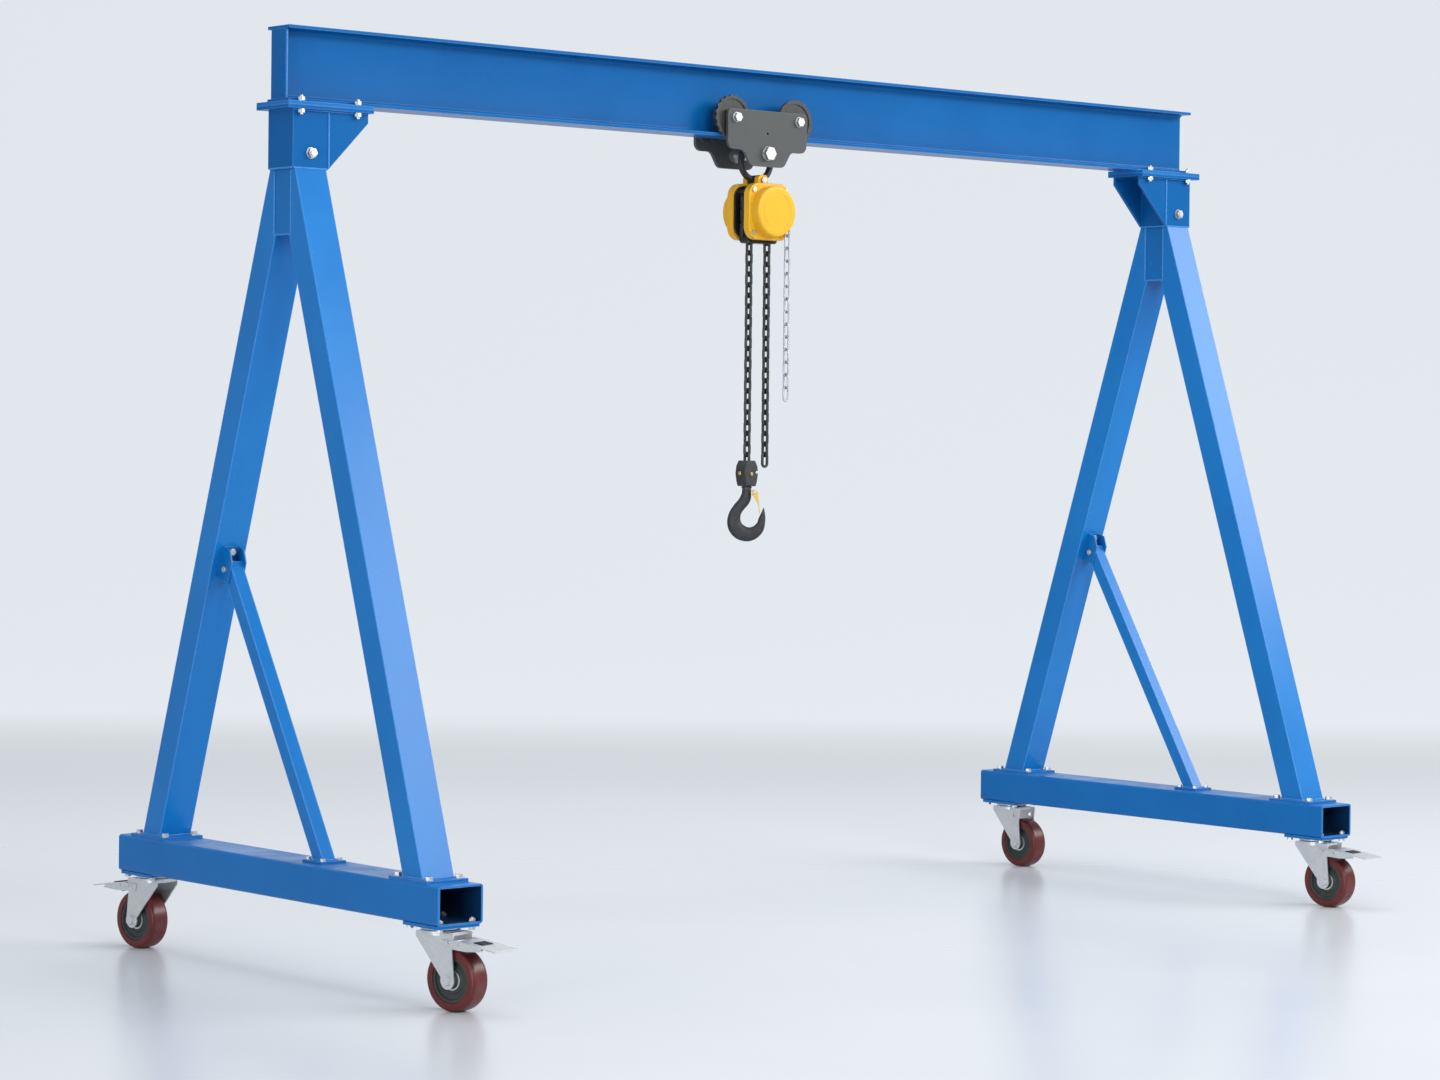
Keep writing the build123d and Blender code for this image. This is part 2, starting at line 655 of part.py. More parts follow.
sprocket = rod(sprocket_radius - load_wire - 1, 12, (hoist_x, 0, hoist_z), "Y")
for y in (-9.5, 9.5):
    sprocket += rod(sprocket_radius + 3, 7, (hoist_x, y, hoist_z), "Y")
pocket_count = 5
for i in range(pocket_count):
    angle = 2 * math.pi * i / pocket_count
    x = hoist_x + (sprocket_radius + 6) * math.cos(angle)
    z = hoist_z + (sprocket_radius + 6) * math.sin(angle)
    sprocket -= rod(12, 40, (x, 0, z), "Y")
sprocket += rod(10, 2 * frame_half, (hoist_x, 0, hoist_z), "Y")
save(sprocket, "load_sprocket")

cover_out = hoist_frame_half + cover_depth
disc_out = cover_out + 34
hand_x = hoist_x + hand_chain_radius
lug_z = shank_z
hoist_bolts = []
for end, name in ((-1, "hand_wheel_cover"), (1, "gear_cover")):
    y0, y1 = sorted((end * hoist_frame_half, end * cover_out))
    cover = rounded_cover(hoist_half, hoist_half + 3, y0, y1, 38)
    face = cover.faces().sort_by(Axis.Y)[0 if end < 0 else -1]
    cover = fillet(face.edges(), 4)
    disc = rod(cover_disc_radius, 34, (hoist_x, end * (cover_out + 17), hoist_z), "Y")
    rim = disc.edges().group_by(Axis.Y)[0 if end < 0 else -1]
    disc = fillet(rim, 7 if end < 0 else 16)
    cover += disc
    lug_y0, lug_y1 = sorted((end * 17, end * 34))
    lug = block(shank_x - 19, shank_x + 19, lug_y0, lug_y1, hoist_z + hoist_half - 2, lug_z + 16)
    lug = fillet(lug.edges().filter_by(Axis.Y).group_by(Axis.Z)[-1], 14)
    cover += lug
    cover -= block(hoist_x - 90, hoist_x + 90, -hoist_frame_half, hoist_frame_half,
                   hoist_z - 90, hoist_z + 77)
    cover -= rod(6 + flat_gap, 200, (shank_x, 0, lug_z), "Y")
    if end < 0:
        cover -= block(hand_x - 16, hand_x + 16, hand_chain_y - 14, -cover_out,
                       hoist_z - 80, hoist_z - 22)
        ring = rod(54, 1.6, (hoist_x, -disc_out + 0.5, hoist_z), "Y")
        ring -= rod(51, 4, (hoist_x, -disc_out, hoist_z), "Y")
        cover -= ring
    for dx in (-62, 62):
        for dz in (-62, 62):
            x, z = hoist_x + dx, hoist_z + dz
            cover -= rod(4 + flat_gap, cover_depth * 2, (x, end * cover_out, z), "Y")
            screw = rod(4, 16, (x, end * (cover_out - 6), z), "Y")
            screw += rod(7.5, 4, (x, end * (cover_out + 2.2), z), "Y")
            hoist_bolts.append(screw)
    save(cover, name)
lug_bolt = rod(6, 84, (shank_x, 0, lug_z), "Y")
for end in (-1, 1):
    lug_bolt += hexagon(17, 7, (shank_x, end * 37.7, lug_z), "Y")
hoist_bolts.append(lug_bolt)
save(hoist_bolts, "hoist_bolts")

# ================================================================ chains


def link(wire, width, pitch):
    """One long link standing along Z, its opening facing Y."""
    radius = (width - wire) / 2
    straight = (pitch + 2 * flat_gap + wire) / 2 - radius
    low, high = (radius, 0, -straight), (radius, 0, straight)
    side = Line(low, high)
    top = ThreePointArc(high, (0, 0, straight + radius), (-radius, 0, straight))
    back = Line((-radius, 0, straight), (-radius, 0, -straight))
    under = ThreePointArc((-radius, 0, -straight), (0, 0, -straight - radius), low)
    path = Wire([side, top, back, under])
    return sweep(Plane(low, z_dir=(0, 0, 1)) * Circle(wire / 2), path)


def hanging_chain(one, count, pitch, x, y, lowest_z):
    """Links one pitch apart, each turned a quarter from the next."""
    links = []
    for i in range(count):
        links.append(Pos(x, y, lowest_z + i * pitch) * Rot(0, 0, 90 * (i % 2)) * one)
    return links


load_x = trolley_x
slack_x = hoist_x + sprocket_radius
chain_top_z = hoist_z - 74.0
pin_radius = 5.0
lowest_link_z = 0.0
load_pitch = 31.0
for _ in range(20):
    lowest_link_z = block_pin_z - pin_radius + load_pitch / 2
    load_pitch = (chain_top_z - lowest_link_z) / (load_links - 1)
load_link = link(load_wire, load_link_width, load_pitch)
save(hanging_chain(load_link, load_links, load_pitch, load_x, 0, lowest_link_z), "load_chain")
slack_low_z = chain_top_z - (slack_links - 1) * load_pitch
save(hanging_chain(load_link, slack_links, load_pitch, slack_x, 0, slack_low_z), "slack_chain")
hand_link = link(hand_wire, hand_link_width, hand_pitch)
hand_top_z = hoist_z - 50.0
hand_low_z = hand_top_z - (hand_links - 1) * hand_pitch
save(hanging_chain(hand_link, hand_links, hand_pitch, hand_x, hand_chain_y, hand_low_z),
     "hand_chain")

# ================================================================ hook block
shank_radius = 13.0
collar_radius = 18.5
collar_low_z = block_bottom_z + 5
collar_high_z = collar_low_z + 12
block_shape = [(-15, block_top_z), (15, block_top_z), (24, block_top_z - 16),
               (block_half_x, block_top_z - 38), (23, block_bottom_z + 14),
               (18, block_bottom_z), (-18, block_bottom_z), (-23, block_bottom_z + 14),
               (-block_half_x, block_top_z - 38), (-24, block_top_z - 16)]
outline = [(load_x + x, z) for x, z in block_shape]
body = prism_xz(outline, -block_half_y, block_half_y)
body -= rod(collar_radius + 1, collar_high_z - collar_low_z + 1.2,
            (load_x, 0, (collar_low_z + collar_high_z) / 2), "Z")
body -= rod(shank_radius + run_gap, 60, (load_x, 0, block_bottom_z), "Z")
body -= rod(15.5, 120, (load_x, 0, collar_high_z + 61.5), "Z")
body -= rod(pin_radius + flat_gap, 100, (load_x, 0, block_pin_z), "Y")
halves = []
for end in (-1, 1):
    y0, y1 = sorted((end * 0.15, end * 60))
    half = body & block(load_x - 60, load_x + 60, y0, y1, 0, overall_height)
    face = half.faces().sort_by(Axis.Y)[0 if end < 0 else -1]
    halves.append(fillet(face.outer_wire().edges(), 4))
save(halves, "hook_block")

pins = [rod(pin_radius, 2 * block_half_y + 3, (load_x, 0, block_pin_z), "Y")]
save(pins, "block_pin")

# ================================================================ hook and latch
bowl_z = block_bottom_z - 106.0
eye = Pos(9, bowl_z + 12) * Circle(26)
outline = Pos(0, bowl_z) * Circle(hook_radius)
neck = Polyline((-15, block_bottom_z - 20), (15, block_bottom_z - 20), (16, bowl_z + 60),
                (2, bowl_z + 34), (0, bowl_z), (-54, bowl_z + 14), (-30, bowl_z + 56),
                close=True)
mouth = Polyline((9 - 14, bowl_z + 34), (16, bowl_z + 60), (14, bowl_z + 75), (90, bowl_z + 75),
                 (90, bowl_z + 42), (48, bowl_z + 42), (35, bowl_z + 12), (9, bowl_z + 12),
                 close=True)
tip = Polyline((55.9, bowl_z), (55.5, bowl_z + 14), (53.5, bowl_z + 30), (51, bowl_z + 42),
               (40, bowl_z + 42), (30, bowl_z), close=True)
profile = outline + make_face(neck.edges()) + make_face(tip.edges())
profile = profile - eye - make_face(mouth.edges())
flat = extrude(profile, hook_thickness / 2, both=True)
hook = Rot(90, 0, 0) * flat
hook = max(hook.solids(), key=lambda s: s.volume)
shank_low = block_bottom_z - 30
hook += rod(shank_radius, collar_high_z - shank_low, (0, 0, (collar_high_z + shank_low) / 2), "Z")
hook += rod(collar_radius, collar_high_z - collar_low_z, (0, 0, (collar_high_z + collar_low_z) / 2),
            "Z")
latch_x = 21.0
latch_z = block_bottom_z - 19.0
hook += rod(9, hook_thickness, (latch_x, 0, latch_z), "Y")
hook -= rod(3.5 + run_gap, 60, (latch_x, 0, latch_z), "Y")

blade_low = bowl_z + 27
blade_low_x = 40.8
arm_z = latch_z - 28
arm_x = latch_x + 12 + (blade_low_x - latch_x - 12) * (latch_z + 2 - arm_z) / (latch_z + 2 - blade_low)
blade = [(latch_x + 9.3, latch_z - 2), (latch_x + 12, latch_z + 2), (blade_low_x, blade_low),
         (blade_low_x - 4, blade_low)]
ear = hook_thickness / 2 + flat_gap
latch = prism_xz(blade, -10, 10)
for y0 in (-ear - 2, ear):
    latch += prism_xz([(latch_x - 2, latch_z - 9), (latch_x + 1, latch_z + 9),
                       (latch_x + 12, latch_z + 2), (arm_x, arm_z), (arm_x - 7, arm_z)],
                      y0, y0 + 2)
latch += prism_xz([(latch_x + 9.8, latch_z - 2), (latch_x + 12, latch_z + 2), (arm_x, arm_z),
                   (arm_x - 3, arm_z)], -ear - 2, ear + 2)
latch += rod(3.5, 2 * ear + 4, (latch_x, 0, latch_z), "Y")
turned = Pos(load_x, 0, 0) * Rot(0, 0, hook_turn)
save(turned * hook, "hook")
save(turned * latch, "latch")
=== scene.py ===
"""Portable gantry crane: finishes, fine pieces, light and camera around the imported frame."""

import json
import math

import bmesh
import bpy
import numpy as np
from mathutils import Matrix, Vector


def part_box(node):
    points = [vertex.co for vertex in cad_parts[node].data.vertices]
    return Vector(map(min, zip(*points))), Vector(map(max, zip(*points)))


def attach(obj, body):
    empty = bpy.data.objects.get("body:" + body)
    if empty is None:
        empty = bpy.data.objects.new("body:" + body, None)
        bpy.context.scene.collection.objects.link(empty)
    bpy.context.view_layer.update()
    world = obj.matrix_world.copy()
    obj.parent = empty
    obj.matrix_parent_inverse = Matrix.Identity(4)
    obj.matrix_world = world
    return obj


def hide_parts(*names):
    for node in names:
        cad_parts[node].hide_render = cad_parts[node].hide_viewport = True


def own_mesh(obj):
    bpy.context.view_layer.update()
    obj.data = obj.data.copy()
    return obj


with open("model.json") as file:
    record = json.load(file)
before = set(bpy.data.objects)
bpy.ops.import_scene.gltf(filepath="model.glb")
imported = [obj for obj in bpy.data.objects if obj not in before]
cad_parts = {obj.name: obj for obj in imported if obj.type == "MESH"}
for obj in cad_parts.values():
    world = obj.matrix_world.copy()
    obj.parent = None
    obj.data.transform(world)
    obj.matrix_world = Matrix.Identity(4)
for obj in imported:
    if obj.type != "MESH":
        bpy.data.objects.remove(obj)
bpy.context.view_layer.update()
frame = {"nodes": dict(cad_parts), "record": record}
TAU = 2 * math.pi

# Metres. X runs along the beam, Y along the base tubes, Z is up.
HALF_SPAN = 1.7            # middle of either A-frame
CASTER_Y = 0.66            # swivel axis of a caster
WHEEL_TRAIL = 0.055        # axle behind the swivel axis
WHEEL_RADIUS = 0.08
HANG_X = -0.105            # load chain and hook
HOOK_TURN = -41.0          # degrees from the beam to the flat of the hook
FACING = math.radians(41.0)    # way the camera looks, from +Y towards +X
BOWL_Z = 1.191             # centre of the hook's bowl
LATCH_OUT = 0.021          # latch pivot, out from the shank
LATCH_Z = 1.278


# ---------------------------------------------------------------- shader graphs
class Value:
    """A number socket; arithmetic on it adds Math nodes."""

    def __init__(self, graph, socket):
        self.graph = graph
        self.socket = socket

    def _math(self, operation, a, b=None):
        return self.graph.add("ShaderNodeMath", {"operation": operation}, [a, b])

    def __add__(self, other):
        return self._math("ADD", self, other)

    def __radd__(self, other):
        return self._math("ADD", other, self)

    def __sub__(self, other):
        return self._math("SUBTRACT", self, other)

    def __rsub__(self, other):
        return self._math("SUBTRACT", other, self)

    def __mul__(self, other):
        return self._math("MULTIPLY", self, other)

    def __rmul__(self, other):
        return self._math("MULTIPLY", other, self)

    def __truediv__(self, other):
        return self._math("DIVIDE", self, other)

    def __rtruediv__(self, other):
        return self._math("DIVIDE", other, self)

    def __pow__(self, other):
        return self._math("POWER", self, other)

    def __abs__(self):
        return self._math("ABSOLUTE", self)

    def at_least(self, other):
        """The larger of two values."""
        return self._math("MAXIMUM", self, other)


class Finish:
    """One procedural material with a Principled shader."""

    def __init__(self, name, **uniform):
        self.material = bpy.data.materials.new(name)
        self.material.use_nodes = True
        self.nodes = self.material.node_tree.nodes
        self.links = self.material.node_tree.links
        self.shader = next(n for n in self.nodes if n.type == "BSDF_PRINCIPLED")
        for socket, value in uniform.items():
            self.shader.inputs[socket.replace("_", " ")].default_value = value
        self.place = self.add("ShaderNodeTexCoord", {}, {}, "Object")

    def add(self, kind, settings, inputs, output=0):
        """Add a node: its settings first, then the values or links of its sockets."""
        node = self.nodes.new(kind)
        stops = settings.pop("stops", None)
        for key, value in settings.items():
            setattr(node, key, value)
        if stops:
            ramp = node.color_ramp
            while len(ramp.elements) < len(stops):
                ramp.elements.new(0.5)
            for element, (at, colour) in zip(ramp.elements, stops):
                element.position = at
                element.color = colour
        pairs = inputs.items() if isinstance(inputs, dict) else enumerate(inputs)
        for key, value in pairs:
            if isinstance(value, Value):
                self.links.new(value.socket, node.inputs[key])
            elif value is not None:
                node.inputs[key].default_value = value
        return Value(self, node.outputs[output])

    def feed(self, **sockets):
        """Link varying values into the shader."""
        for key, value in sockets.items():
            self.links.new(value.socket, self.shader.inputs[key.replace("_", " ")])
        return self.material

    def stretched(self, scale):
        """Object coordinates scaled by a vector."""
        return self.add("ShaderNodeMapping", {}, {"Vector": self.place, "Scale": scale})

    def noise(self, scale, detail=3.0, rough=0.5, vector=None):
        """Fractal noise from 0 to 1, with features one over scale metres across."""
        return self.add("ShaderNodeTexNoise", {}, {
            "Vector": vector or self.place, "Scale": scale, "Detail": detail,
            "Roughness": rough})

    def cells(self, scale):
        """Distance to the nearest point of a random cell pattern."""
        return self.add("ShaderNodeTexVoronoi", {"feature": "F1"}, {
            "Vector": self.place, "Scale": scale})

    def ramp(self, value, low, high, to_low=0.0, to_high=1.0):
        """Smooth step of a value from low to high, clamped."""
        return self.add("ShaderNodeMapRange", {"interpolation_type": "SMOOTHSTEP"}, {
            "Value": value, "From Min": low, "From Max": high,
            "To Min": to_low, "To Max": to_high})

    def mix(self, mask, a, b):
        """Colour a where mask is 0, colour b where it is 1."""
        return self.add("ShaderNodeMix", {"data_type": "RGBA"}, {0: mask, 6: a, 7: b}, 2)

    def edges(self, radius):
        """1 on convex and concave edges, 0 on flat faces."""
        soft = self.add("ShaderNodeBevel", {"samples": 4}, {"Radius": radius})
        sharp = self.add("ShaderNodeNewGeometry", {}, {}, "Normal")
        close = self.add("ShaderNodeVectorMath", {"operation": "DOT_PRODUCT"},
                         {0: soft, 1: sharp}, "Value")
        return self.ramp(close, 0.995, 0.86)

    def bump(self, height, strength, distance=0.001):
        """Normal bent by a height field."""
        return self.add("ShaderNodeBump", {}, {"Height": height, "Strength": strength,
                                               "Distance": distance})

    def inside(self, centre_x, centre_z, half_x, half_z):
        """1 in the bore of a tube along Y on either side of the crane, 0 outside it."""
        x = self.add("ShaderNodeSeparateXYZ", {}, [self.place], 0)
        z = self.add("ShaderNodeSeparateXYZ", {}, [self.place], 2)
        across = abs(abs(x) - centre_x) - half_x
        height = abs(z - centre_z) - half_z
        return self.ramp(across.at_least(height), 0.0004, -0.0004)

    def upward(self):
        """How much a surface faces up, from 0 to 1."""
        normal = self.add("ShaderNodeNewGeometry", {}, {}, "Normal")
        up = self.add("ShaderNodeVectorMath", {"operation": "DOT_PRODUCT"},
                      {0: normal, 1: (0, 0, 1)}, "Value")
        return self.ramp(up, 0.55, 0.95)


def rgba(r, g, b):
    return (r, g, b, 1.0)


def gloss_paint(name, colour, deep, chip, rough=0.28, coat=0.35, gloss_level=0.28,
                edge_width=0.0035, painted_edge_highlight=0.45, painted_shade_bore=None):
    """Sprayed gloss paint: orange peel, faint cloudiness, dust on top, chips on some edges, a
    painted highlight along every edge, and painted shade in a tube bore when one is given.
    """
    f = Finish(name, Coat_Weight=coat, Coat_Roughness=0.10, Specular_IOR_Level=gloss_level)
    cloud = f.noise(2.2, 4.0, 0.6)
    speck = f.noise(60.0, 4.0, 0.65)
    peel = f.noise(420.0, 2.0, 0.5)
    edge = f.edges(edge_width)
    scuff = f.ramp(f.noise(38.0, 6.0, 0.72, f.stretched((1.0, 1.0, 0.35))), 0.63, 0.74)
    base = f.mix(f.ramp(cloud, 0.3, 0.7), deep, colour)
    worn = edge * f.ramp(speck, 0.52, 0.66)
    # painted highlight: a lighter colour mixed in along every edge, convex and concave
    base = f.mix(edge * painted_edge_highlight, base, rgba(*[min(1.0, c * 1.5 + 0.09) for c in colour[:3]]))
    base = f.mix(worn * 0.55, base, chip)
    dust = f.upward() * f.ramp(f.noise(9.0, 5.0, 0.6), 0.38, 0.7)
    base = f.mix(dust * 0.16, base, rgba(0.42, 0.42, 0.40))
    # painted shade: near-black colour inside the bores of the base tubes
    if painted_shade_bore:
        base = f.mix(f.inside(*painted_shade_bore) * 0.86, base, rgba(0.004, 0.012, 0.028))
    gloss = rough + cloud * 0.08 + scuff * 0.22 + dust * 0.25 + worn * 0.2
    height = peel * 0.5 + f.noise(140.0, 2.0) * 0.5 - worn * 0.8
    return f.feed(Base_Color=base, Roughness=gloss, Normal=f.bump(height, 0.10, 0.0006))


def zinc(name, colour, shade, rough=0.34, grain=1.0):
    """Zinc plate: cloudy spangle, handling marks, a painted highlight along its edges and in its
    corners.
    """
    f = Finish(name, Specular_IOR_Level=0.5)
    spangle = f.cells(260.0)
    cloud = f.noise(34.0, 5.0, 0.62)
    smear = f.noise(90.0, 5.0, 0.7, f.stretched((1.0, 1.0, 0.25)))
    edge = f.edges(0.0016)
    tone = f.ramp(cloud * 0.7 + spangle * 0.3, 0.25, 0.62)
    base = f.mix(tone, shade, colour)
    # painted highlight: lighter zinc along every edge and corner
    base = f.mix(edge * 0.5, base, rgba(*[min(1.0, c * 1.25 + 0.05) for c in colour[:3]]))
    gloss = rough + cloud * 0.14 + f.ramp(smear, 0.5, 0.72) * 0.16 - edge * 0.08
    height = smear * 0.5 + spangle * 0.5 * grain
    return f.feed(Base_Color=base, Roughness=gloss,
                  Metallic=f.ramp(cloud, 0.0, 1.0, 0.80, 0.98),
                  Normal=f.bump(height, 0.05, 0.0003))


def forging(name, colour, shade, shine=0.42, metal=0.55):
    """Blackened forged or cast steel: scale pits, rubbed bright on its edges."""
    f = Finish(name, Specular_IOR_Level=0.5)
    scale = f.noise(55.0, 7.0, 0.68)
    pits = f.cells(330.0)
    edge = f.edges(0.0022)
    rubbed = edge * f.ramp(f.noise(85.0, 4.0, 0.6), 0.42, 0.62)
    base = f.mix(f.ramp(scale, 0.32, 0.68), shade, colour)
    base = f.mix(rubbed * 0.7, base, rgba(0.34, 0.34, 0.35))
    gloss = shine + scale * 0.22 - rubbed * 0.14
    height = scale * 0.7 + f.ramp(pits, 0.0, 0.4) * 0.3
    return f.feed(Base_Color=base, Roughness=gloss,
                  Metallic=rubbed * 0.4 + metal,
                  Normal=f.bump(height, 0.22, 0.0006))


def polyurethane(name, colour, shade):
    """Cast polyurethane tread: waxy, scuffed on the tread."""
    f = Finish(name, Specular_IOR_Level=0.36)
    cloud = f.noise(26.0, 4.0, 0.6)
    scuff = f.ramp(f.noise(120.0, 7.0, 0.75), 0.5, 0.72)
    base = f.mix(f.ramp(cloud, 0.3, 0.7), shade, colour)
    base = f.mix(scuff * 0.07, base, rgba(0.30, 0.16, 0.14))
    gloss = 0.24 + cloud * 0.10 + scuff * 0.20
    return f.feed(Base_Color=base, Roughness=gloss,
                  Normal=f.bump(f.noise(240.0, 4.0) + scuff * 0.4, 0.06, 0.0004))


BLUE = gloss_paint("blue_gloss_paint", rgba(0.003, 0.142, 0.43), rgba(0.002, 0.124, 0.39),
                   rgba(0.20, 0.22, 0.24), 0.24, 0.05, 0.18, 0.0040, 0.55)
# base tubes: the same blue, with painted shade in their bores
TUBE_BLUE = gloss_paint("base_paint_painted_shade_bore", rgba(0.003, 0.142, 0.43), rgba(0.002, 0.124, 0.39),
                        rgba(0.20, 0.22, 0.24), 0.24, 0.05, 0.18, 0.0050, 0.65,
                        (HALF_SPAN, 0.268, 0.0643, 0.0443))
# painted shade: a darker copy of the blue for the beam, its end plate and the heads
SHADED_BEAM_BLUE = gloss_paint("beam_paint_painted_shade", rgba(0.003, 0.112, 0.345), rgba(0.002, 0.097, 0.31),
                        rgba(0.20, 0.22, 0.24), 0.24, 0.03, 0.08, 0.0040, 0.55)
# painted light: a lighter copy of the blue, with a stronger painted edge highlight, for the legs,
# braces and weld beads
LIT_LEG_BLUE = gloss_paint("leg_paint_painted_light", rgba(0.005, 0.172, 0.50), rgba(0.003, 0.150, 0.455),
                       rgba(0.24, 0.27, 0.30), 0.22, 0.05, 0.22, 0.0060, 0.75)
YELLOW = gloss_paint("yellow_hoist_paint", rgba(0.80, 0.43, 0.014), rgba(0.74, 0.37, 0.012),
                     rgba(0.30, 0.27, 0.2), 0.30, 0.12)
GREY = gloss_paint("grey_trolley_paint", rgba(0.066, 0.070, 0.070), rgba(0.055, 0.059, 0.059),
                   rgba(0.30, 0.30, 0.30), 0.42, 0.08)
BLACK = gloss_paint("black_frame_paint", rgba(0.014, 0.014, 0.017), rgba(0.010, 0.010, 0.012),
                    rgba(0.16, 0.16, 0.16), 0.34, 0.15)
ZINC = zinc("zinc_plate", rgba(0.56, 0.57, 0.58), rgba(0.40, 0.42, 0.44), 0.28)
PRESSED = zinc("zinc_pressing", rgba(0.72, 0.735, 0.74), rgba(0.60, 0.62, 0.635), 0.38, 0.6)
HAND_ZINC = zinc("zinc_chain", rgba(0.50, 0.52, 0.54), rgba(0.36, 0.38, 0.40), 0.36)
CASTING = forging("dark_casting", rgba(0.058, 0.057, 0.056), rgba(0.034, 0.034, 0.034), 0.44, 0.35)
HUB = forging("hub_casting", rgba(0.040, 0.052, 0.047), rgba(0.028, 0.036, 0.033), 0.50, 0.05)
FORGING = forging("black_forging", rgba(0.050, 0.052, 0.056), rgba(0.030, 0.031, 0.034), 0.40, 0.45)
CHAIN = forging("black_chain", rgba(0.060, 0.064, 0.066), rgba(0.036, 0.040, 0.042), 0.36, 0.6)
TYRE = polyurethane("maroon_tread", rgba(0.128, 0.018, 0.017), rgba(0.098, 0.014, 0.013))
RUBBER = polyurethane("black_rubber", rgba(0.018, 0.018, 0.019), rgba(0.012, 0.012, 0.013))
BRASS = zinc("brass", rgba(0.80, 0.50, 0.12), rgba(0.66, 0.40, 0.09), 0.26)
GOLD = zinc("yellow_zinc", rgba(0.82, 0.58, 0.15), rgba(0.70, 0.50, 0.16), 0.33)

FINISHES = {
    "blue_paint": BLUE, "zinc_plate": ZINC, "polyurethane_tyre": TYRE, "hub_casting": HUB,
    "grey_paint": GREY, "dark_casting": CASTING, "black_forging": FORGING,
    "black_paint": BLACK, "yellow_paint": YELLOW, "black_chain": CHAIN,
    "zinc_chain": HAND_ZINC, "brass_pin": BRASS, "yellow_zinc": GOLD,
}
SLOTS = {part["node"]: part["material_slot"] for part in frame["record"]["subparts"]}
BODIES = {node: body for body, nodes in frame["record"]["behaviour"]["bodies"].items()
          for node in nodes}


def put_finish(obj, finish):
    """Give every face of an object one finish."""
    obj.data.materials.clear()
    obj.data.materials.append(finish)
    return obj


# lit and shaded copies of the blue paint, by node: painted light on legs and braces, painted shade
# on beam, heads and tube bores
LIT_AND_SHADED_TONES = {"beam": SHADED_BEAM_BLUE, "beam_end_plate": SHADED_BEAM_BLUE, "head_left": SHADED_BEAM_BLUE,
         "head_right": SHADED_BEAM_BLUE, "leg_left_front": LIT_LEG_BLUE, "leg_left_rear": LIT_LEG_BLUE,
         "leg_right_front": LIT_LEG_BLUE, "leg_right_rear": LIT_LEG_BLUE, "brace_left": LIT_LEG_BLUE,
         "brace_right": LIT_LEG_BLUE, "base_tube_left": TUBE_BLUE, "base_tube_right": TUBE_BLUE}


def finish_of(node):
    """Finish of a CAD node: its lit or shaded copy of the blue paint, or else the finish of its
    slot.
    """
    if node.startswith(("fork_", "pedal_")):
        return PRESSED
    return LIT_AND_SHADED_TONES.get(node, FINISHES[SLOTS[node]])


for name, obj in frame["nodes"].items():
    put_finish(obj, finish_of(name))


# ---------------------------------------------------------------- rounded copies of CAD nodes
def rounded_copy(node, width, segments=2, angle=30.0):
    """Merged copy of a CAD node with its hard edges rounded, shown in its place."""
    mesh = frame["nodes"][node].data.copy()
    work = bmesh.new()
    work.from_mesh(mesh)
    bmesh.ops.remove_doubles(work, verts=work.verts, dist=2e-6)
    bmesh.ops.dissolve_limit(work, angle_limit=math.radians(0.6), verts=work.verts,
                             edges=work.edges)
    work.to_mesh(mesh)
    work.free()
    mesh.polygons.foreach_set("use_smooth", np.ones(len(mesh.polygons), bool))
    mesh.set_sharp_from_angle(angle=math.radians(angle))
    obj = bpy.data.objects.new(node + "_finished", mesh)
    bpy.context.scene.collection.objects.link(obj)
    bevel = obj.modifiers.new("rounding", "BEVEL")
    bevel.width = width
    bevel.segments = segments
    bevel.limit_method = "ANGLE"
    bevel.angle_limit = math.radians(angle)
    bevel.harden_normals = True
    bevel.use_clamp_overlap = True
    put_finish(obj, finish_of(node))
    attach(obj, BODIES[node])
    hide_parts(node)


# Radius of the rounded edges, and the nodes that have it
ROUNDING = {
    0.0010: ["beam_end_plate", "hoist_frame", "trolley_wheel_left_front",
             "trolley_wheel_left_rear", "trolley_wheel_right_front", "trolley_wheel_right_rear",
             "sleeve_bolts", "load_shaft", "trolley_axle_bolts", "load_sprocket"],
    0.0007: ["head_bolts", "foot_bolts", "brace_bolts", "caster_bolts", "hoist_bolts",
             "block_pin", "brace_clips"],
    0.0014: ["beam", "beam_pads", "head_left", "head_right", "posts", "crotch_blocks",
             "foot_plates", "base_tube_left", "base_tube_right", "caster_plates",
             "trolley_plate_front", "trolley_plate_rear", "hand_wheel_cover", "gear_cover",
             "suspension_loop", "caster_races"],
    0.0025: ["brace_left", "brace_right", "hook_block"],
    0.0042: ["leg_left_front", "leg_left_rear", "leg_right_front", "leg_right_rear"],
}
for width, names in ROUNDING.items():
    for node in names:
        rounded_copy(node, width)


# ---------------------------------------------------------------- meshes from grids of points
def grid_faces(rows, columns, wrap_rows, wrap_columns):
    """Quads between neighbours in a rows by columns grid, joined round where it wraps."""
    r = np.arange(rows if wrap_rows else rows - 1)
    c = np.arange(columns if wrap_columns else columns - 1)
    rr, cc = np.meshgrid(r, c, indexing="ij")
    down, right = (rr + 1) % rows, (cc + 1) % columns
    return np.stack([rr * columns + cc, rr * columns + right,
                     down * columns + right, down * columns + cc], axis=-1).reshape(-1, 4)


